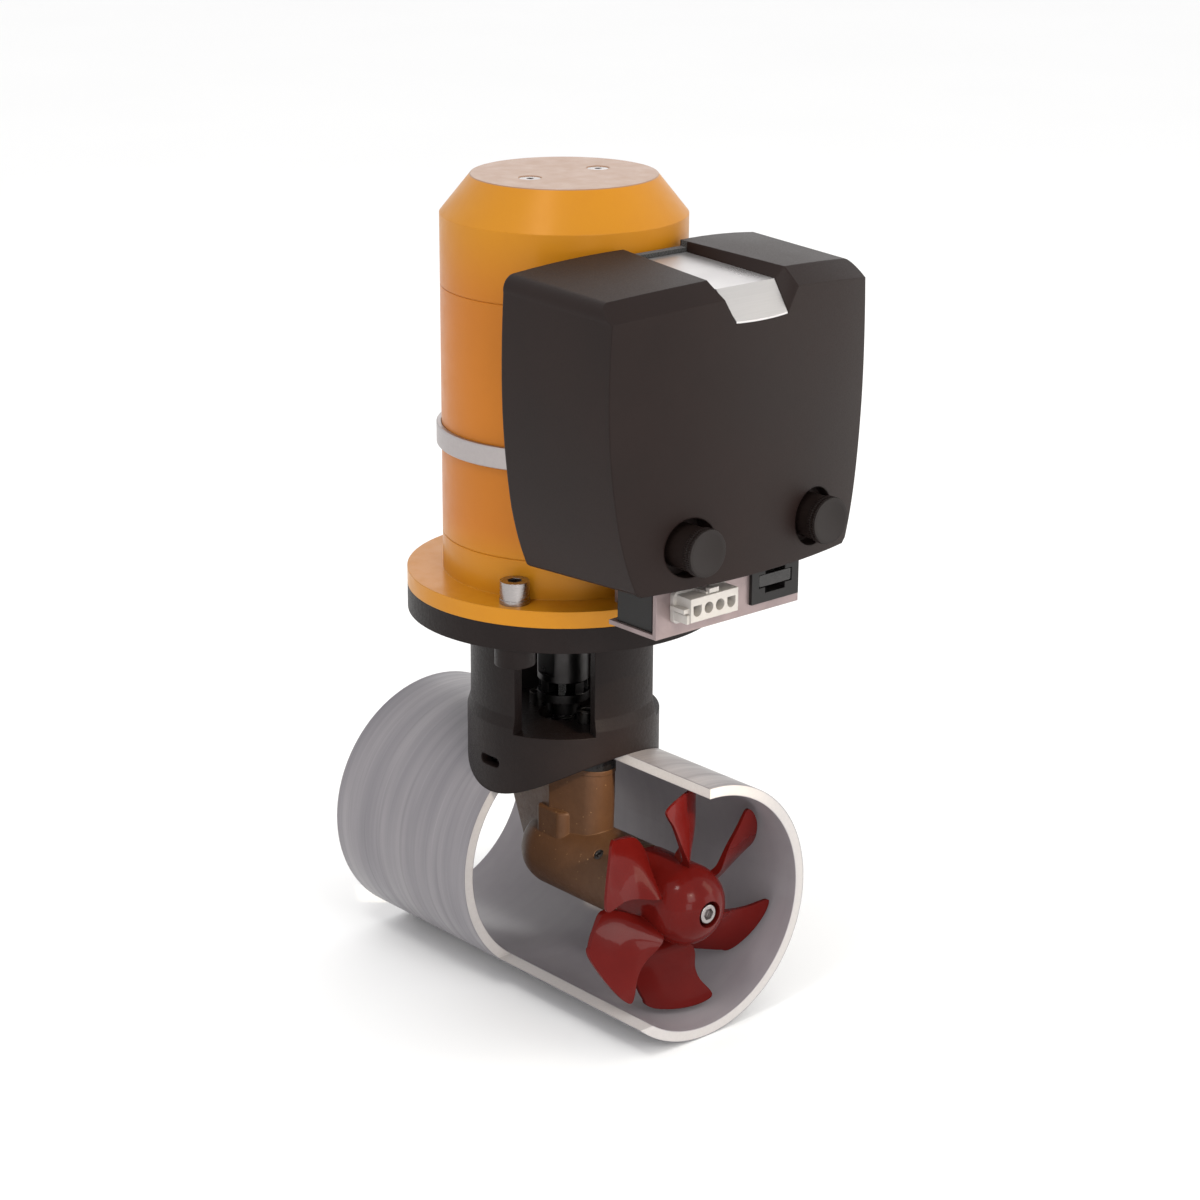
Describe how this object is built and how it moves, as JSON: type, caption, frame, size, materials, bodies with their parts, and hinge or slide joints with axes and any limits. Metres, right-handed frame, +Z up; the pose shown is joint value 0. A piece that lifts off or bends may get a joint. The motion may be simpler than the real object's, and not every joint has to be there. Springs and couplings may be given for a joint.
{
  "type": "underwater thruster",
  "caption": "Tunnel thruster: electric motor on a saddle above a cut-away tube, bevel gear leg inside, multi-bladed propeller, and a control box with a pull-off cover.",
  "frame": {"origin": "where the tunnel's axis meets the vertical axis of the motor and drive shaft", "axes": "+Y along the tunnel axis away from the propeller, +Z up along the motor shaft, +X to the right seen from the propeller's end"},
  "size_m": [0.15, 0.2295, 0.3785],
  "materials": {
    "tunnel": "grey gel coat outside, cream cut faces",
    "saddle_flange": "black coated casting, fine texture",
    "leg_collar": "black satin",
    "housing_bolts": "stainless socket screws",
    "gear_housing": "brown sparkling coat over cast bronze",
    "carrier_screw": "dark steel",
    "bearing_carrier": "turned bronze, brown coat",
    "prop_shaft_front_bearing": "bearing steel",
    "prop_shaft_rear_bearing": "bearing steel",
    "prop_shaft_seal": "nitrile",
    "drive_shaft_lower_bearing": "bearing steel",
    "drive_shaft_upper_bearing": "bearing steel",
    "drive_shaft_seal": "nitrile",
    "motor_flange": "satin orange",
    "flange_bolts": "stainless M8 socket screws",
    "spring_washers": "stainless",
    "motor_housing": "satin orange",
    "motor_end_cap": "satin orange",
    "end_cap_screws": "zinc plated",
    "field_magnets": "sintered ferrite",
    "lower_motor_bearing": "bearing steel",
    "upper_motor_bearing": "bearing steel",
    "brush_plate": "cast and machined",
    "carbon_brushes": "pressed carbon",
    "brush_springs": "spring steel",
    "band_clamp": "light grey strip steel",
    "band_screw": "stainless",
    "motor_shaft": "ground steel",
    "armature_core": "stacked lamination steel",
    "armature_windings": "enamelled copper",
    "commutator": "copper bars",
    "coupling_top_hub": "black anodised",
    "coupling_spider": "black elastomer",
    "coupling_bottom_hub": "black anodised",
    "drive_shaft": "ground stainless",
    "bevel_pinion": "hardened steel",
    "bevel_gear": "hardened steel",
    "prop_shaft": "ground stainless",
    "shear_pin": "stainless",
    "propeller": "glossy dark red composite",
    "prop_washer": "stainless",
    "prop_screw": "stainless socket screw",
    "control_bracket": "zinc plated sheet",
    "bracket_screws": "zinc plated",
    "knob_posts": "steel spacers",
    "connector_socket": "white nylon",
    "connector_pins": "tinned contacts",
    "fuse_holder": "black moulding",
    "fuse": "tinted blade fuse",
    "control_box": "black moulding",
    "contactors": "black moulded cases",
    "terminal_block": "black moulding",
    "battery_studs": "brass",
    "stud_nuts": "brass",
    "bus_bars": "copper strip",
    "cover": "black brown satin moulding",
    "id_plate": "bare brushed sheet",
    "foam_strip": "black closed-cell foam",
    "knob_left": "black, knurled rim",
    "knob_right": "black, knurled rim"
  },
  "bodies": {
    "root": {"tunnel": "tunnel", "saddle_flange": "saddle_flange", "leg_collar": "leg_collar", "housing_bolts": "housing_bolts", "gear_housing": "gear_housing", "carrier_screw": "carrier_screw", "bearing_carrier": "bearing_carrier", "prop_shaft_front_bearing": "prop_shaft_front_bearing", "prop_shaft_rear_bearing": "prop_shaft_rear_bearing", "prop_shaft_seal": "prop_shaft_seal", "drive_shaft_lower_bearing": "drive_shaft_lower_bearing", "drive_shaft_upper_bearing": "drive_shaft_upper_bearing", "drive_shaft_seal": "drive_shaft_seal", "motor_flange": "motor_flange", "flange_bolts": "flange_bolts", "spring_washers": "spring_washers", "motor_housing": "motor_housing", "motor_end_cap": "motor_end_cap", "end_cap_screws": "end_cap_screws", "field_magnets": "field_magnets", "lower_motor_bearing": "lower_motor_bearing", "upper_motor_bearing": "upper_motor_bearing", "brush_plate": "brush_plate", "carbon_brushes": "carbon_brushes", "brush_springs": "brush_springs", "band_clamp": "band_clamp", "band_screw": "band_screw", "control_bracket": "control_bracket", "bracket_screws": "bracket_screws", "knob_posts": "knob_posts", "connector_socket": "connector_socket", "connector_pins": "connector_pins", "fuse_holder": "fuse_holder", "control_box": "control_box", "contactors": "contactors", "terminal_block": "terminal_block", "battery_studs": "battery_studs", "stud_nuts": "stud_nuts", "bus_bars": "bus_bars"},
    "armature": {"motor_shaft": "motor_shaft", "armature_core": "armature_core", "armature_windings": "armature_windings", "commutator": "commutator", "coupling_top_hub": "coupling_top_hub", "coupling_spider": "coupling_spider", "coupling_bottom_hub": "coupling_bottom_hub", "drive_shaft": "drive_shaft", "bevel_pinion": "bevel_pinion"},
    "propeller": {"bevel_gear": "bevel_gear", "prop_shaft": "prop_shaft", "shear_pin": "shear_pin", "propeller": "propeller", "prop_washer": "prop_washer", "prop_screw": "prop_screw"},
    "cover": {"cover": "cover", "id_plate": "id_plate", "foam_strip": "foam_strip"},
    "knob_left": {"knob_left": "knob_left"},
    "knob_right": {"knob_right": "knob_right"},
    "fuse": {"fuse": "fuse"}
  },
  "joints": [
    {"name": "armature_spin", "type": "hinge", "parent": "root", "child": "armature", "pos_m": [0, 0, 0.2], "axis": [0, 0, 1], "continuous": true},
    {"name": "propeller_spin", "type": "hinge", "parent": "root", "child": "propeller", "pos_m": [0, -0.05, 0], "axis": [0, 1, 0], "continuous": true},
    {"name": "cover_slide", "type": "slide", "parent": "root", "child": "cover", "axis": [0, -1, 0], "range_m": [0, 0.11]},
    {"name": "knob_left_turn", "type": "hinge", "parent": "cover", "child": "knob_left", "pos_m": [-0.0359, -0.12, 0.1835], "axis": [0, -1, 0], "continuous": true},
    {"name": "knob_right_turn", "type": "hinge", "parent": "cover", "child": "knob_right", "pos_m": [0.0359, -0.12, 0.1835], "axis": [0, -1, 0], "continuous": true},
    {"name": "fuse_slide", "type": "slide", "parent": "root", "child": "fuse", "axis": [0, -1, 0], "range_m": [0, 0.02]}
  ],
  "couplings": [
    {"joint": "propeller_spin", "follows": "armature_spin", "ratio": 0.61905}
  ]
}
